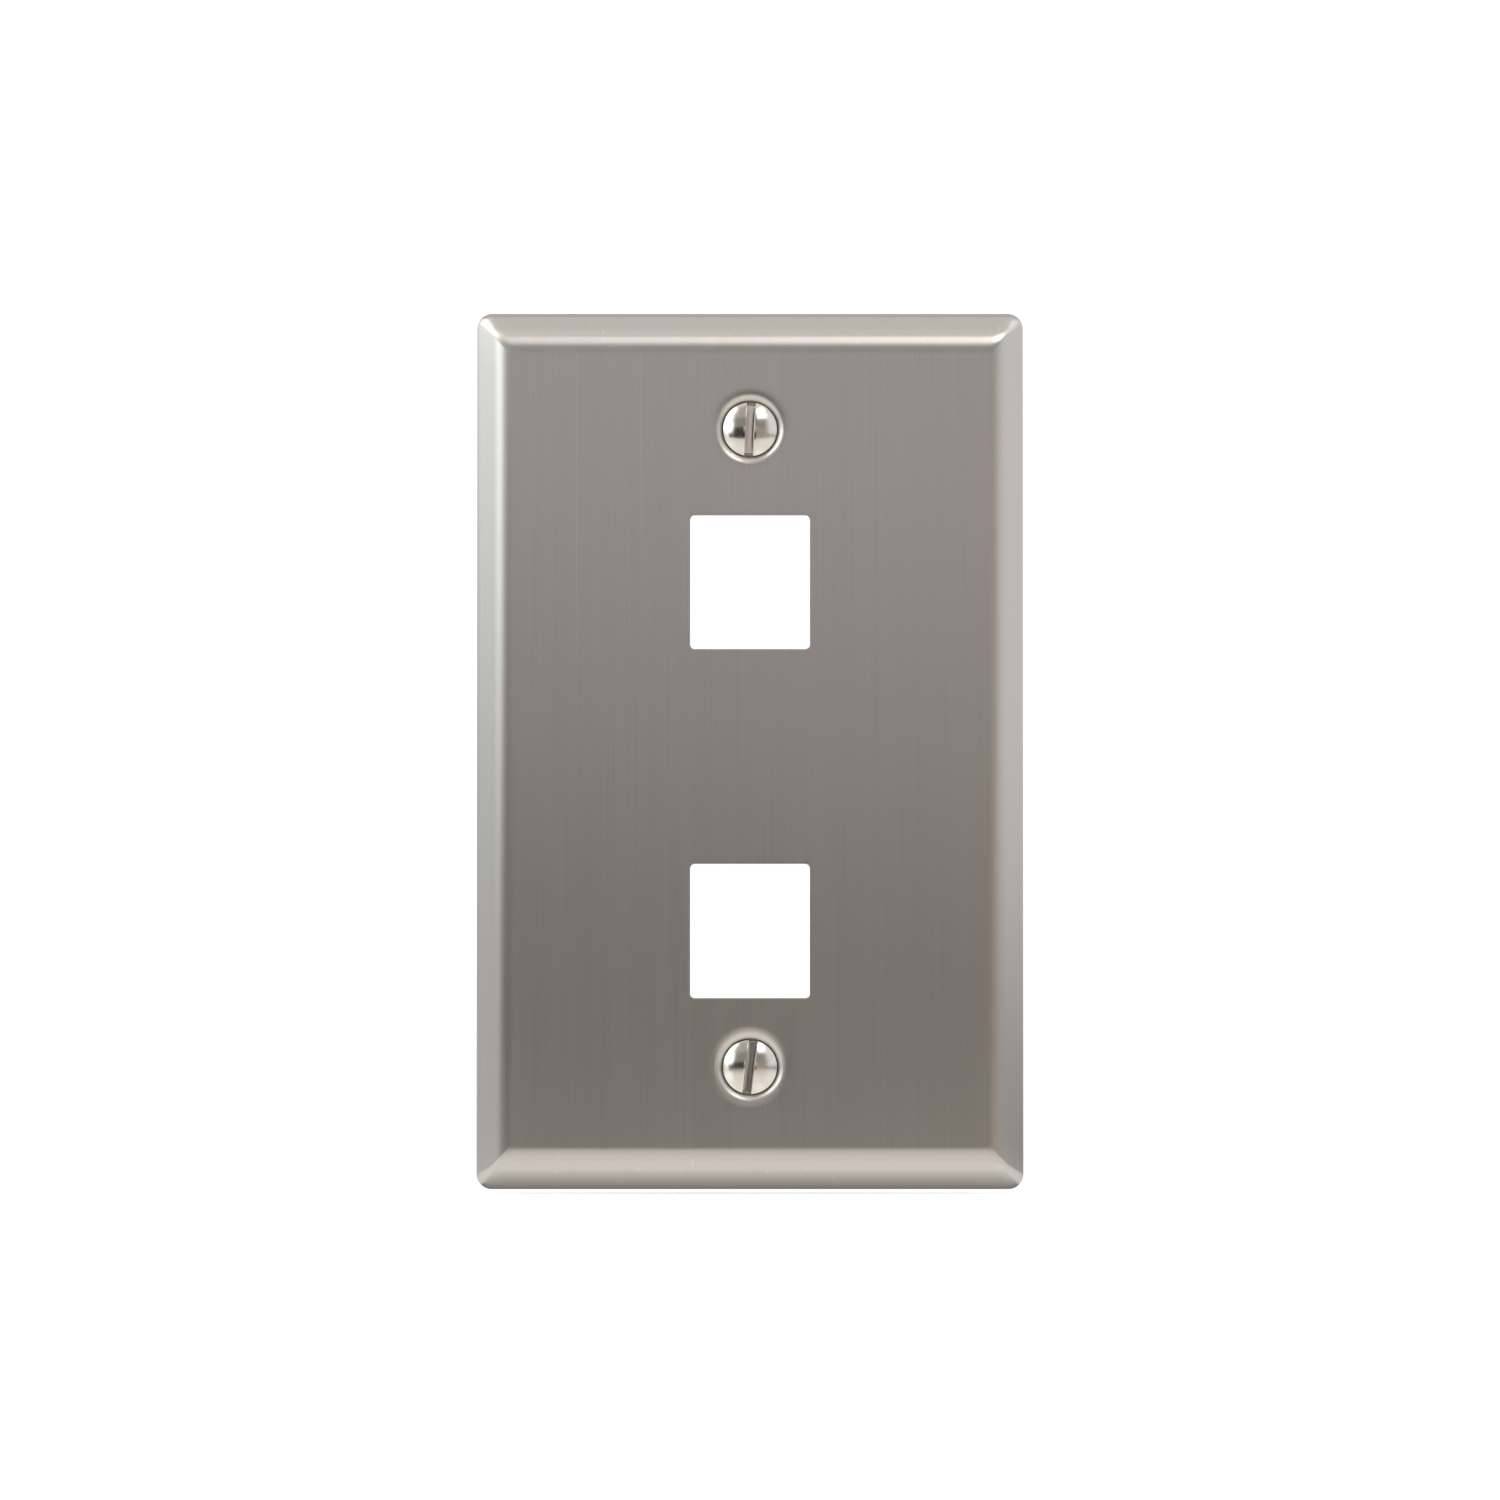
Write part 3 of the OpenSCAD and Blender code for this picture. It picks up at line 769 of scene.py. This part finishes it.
def level_panel(name, x, y, height, fade=None, coated=False):
    corners = [(x[0], y[0], height), (x[1], y[0], height), (x[1], y[1], height), (x[0], y[1], height)]
    panel(name, corners, lit_gloss(name) if coated else glow(name, fade))


def room():
    """The dim room beyond the panels."""
    mesh = bpy.data.meshes.new("room")
    bm = bmesh.new()
    bmesh.ops.create_icosphere(bm, subdivisions=3, radius=3)
    bm.to_mesh(mesh)
    bm.free()
    stage_piece("room", mesh, glow("room"))


def white_world():
    world = bpy.data.worlds.new("studio")
    world.use_nodes = True
    world.node_tree.nodes["Background"].inputs["Color"].default_value = (1, 1, 1, 1)
    world.node_tree.nodes["Background"].inputs["Strength"].default_value = 1.2
    bpy.context.scene.world = world


def ground_pieces(ground, near, far, half_w):
    """The floor that the camera sees, the table that reflections see, and the shade under the plate."""
    pale = Nodes("pale_floor", Roughness=0.9, Specular_IOR_Level=0.1)
    pale.link(Base_Color=pale.blend(pale.noise(8), (0.93, 0.93, 0.925, 1), (0.96, 0.96, 0.955, 1)))
    corners = [(-4, near, ground), (4, near, ground), (4, 4, ground), (-4, 4, ground)]
    floor = panel("floor", corners, pale.material, reflected_only=False)
    floor.visible_glossy = False
    level_panel("table", (-half_w, half_w), (near, far), ground + 0.0001, coated=True)
    shadow_fade = ("Y", -0.0065, -0.0025)
    level_panel("contact_shadow", (-0.036, 0.036), (-0.0065, 0.0005), ground + 0.0002, shadow_fade)


def studio():
    """The panels round the plate, as the photo's reflections suggest them."""
    bpy.context.scene.view_settings.view_transform = "Standard"
    white_world()
    ground = cad_low.z - 0.0005
    near, far, half_w = -0.28, 0.35, 0.6  # the table's front and back, and half its width
    ground_pieces(ground, near, far, half_w)
    level_panel("ceiling", (-half_w, half_w), (-0.35, 0.15), 0.62, ("Y", -0.04, 0.03))
    slope = [(-0.7, -0.9, 0.6), (0.7, -0.9, 0.6), (0.7, -0.35, 0.62), (-0.7, -0.35, 0.62)]
    panel("ceiling_front", slope, glow("ceiling_front"))
    upright_panel("back_sheet", (-half_w, far), (half_w, far), ground, 0.35)
    upright_panel("back_high", (-half_w, far), (half_w, far), 0.35, 0.7)
    fade, clear = ("Z", -0.02, 0.12), ("Y", -0.3, -0.18)
    upright_panel("left_wall", (-0.4, far), (-0.4, -0.3), ground, 0.5, fade, clear)
    fade, clear = ("Z", -0.08, 0.015), ("Y", -0.6, -0.33)
    upright_panel("right_wall", (0.4, -0.6), (0.4, far), ground, 0.5, fade, clear)
    front, low, middle, high = -0.9, -0.3, 0.16, 0.6  # where the front panels stand, and their heights
    upright_panel("front_left", (-1.1, front), (-0.17, front), low, middle)
    upright_panel("front_centre", (-0.17, front), (0.17, front), low, middle, ("Z", -0.08, 0.12))
    upright_panel("front_right", (0.17, front), (1.1, front), low, middle)
    upright_panel("front_high", (-1.1, front), (1.1, front), middle, high)
    room()
    softbox("left_softbox", -52, 14, 0.45, 0.26, 0.3, (0.08, 0.13))
    softbox("upper_left_softbox", -60, 42, 0.5, 0.3, 0.3, (0.1, 0.1))
    softbox("upper_right_softbox", 28, 43, 0.6, 0.33, 0.32, (0.12, 0.12))


def camera():
    """Straight on, from two degrees below the middle of the plate, far off with a long lens."""
    distance, below, field = 1.46, math.radians(2), 0.1958
    data = bpy.data.cameras.new("camera")
    data.sensor_width = 36
    data.lens = 36 * distance / field
    data.clip_start, data.clip_end = 0.05, 50
    cam = bpy.data.objects.new("camera", data)
    bpy.context.scene.collection.objects.link(cam)
    target = Vector((0, PLATE_LOW.y, (PLATE_LOW.z + PLATE_HIGH.z) / 2))
    cam.location = target + distance * Vector((0, -math.cos(below), -math.sin(below)))
    cam.rotation_euler = (target - cam.location).to_track_quat("-Z", "Y").to_euler()
    bpy.context.scene.camera = cam


faceplate()
for side in ("upper", "lower"):
    screw(side)
rear_pieces()
studio()
camera()
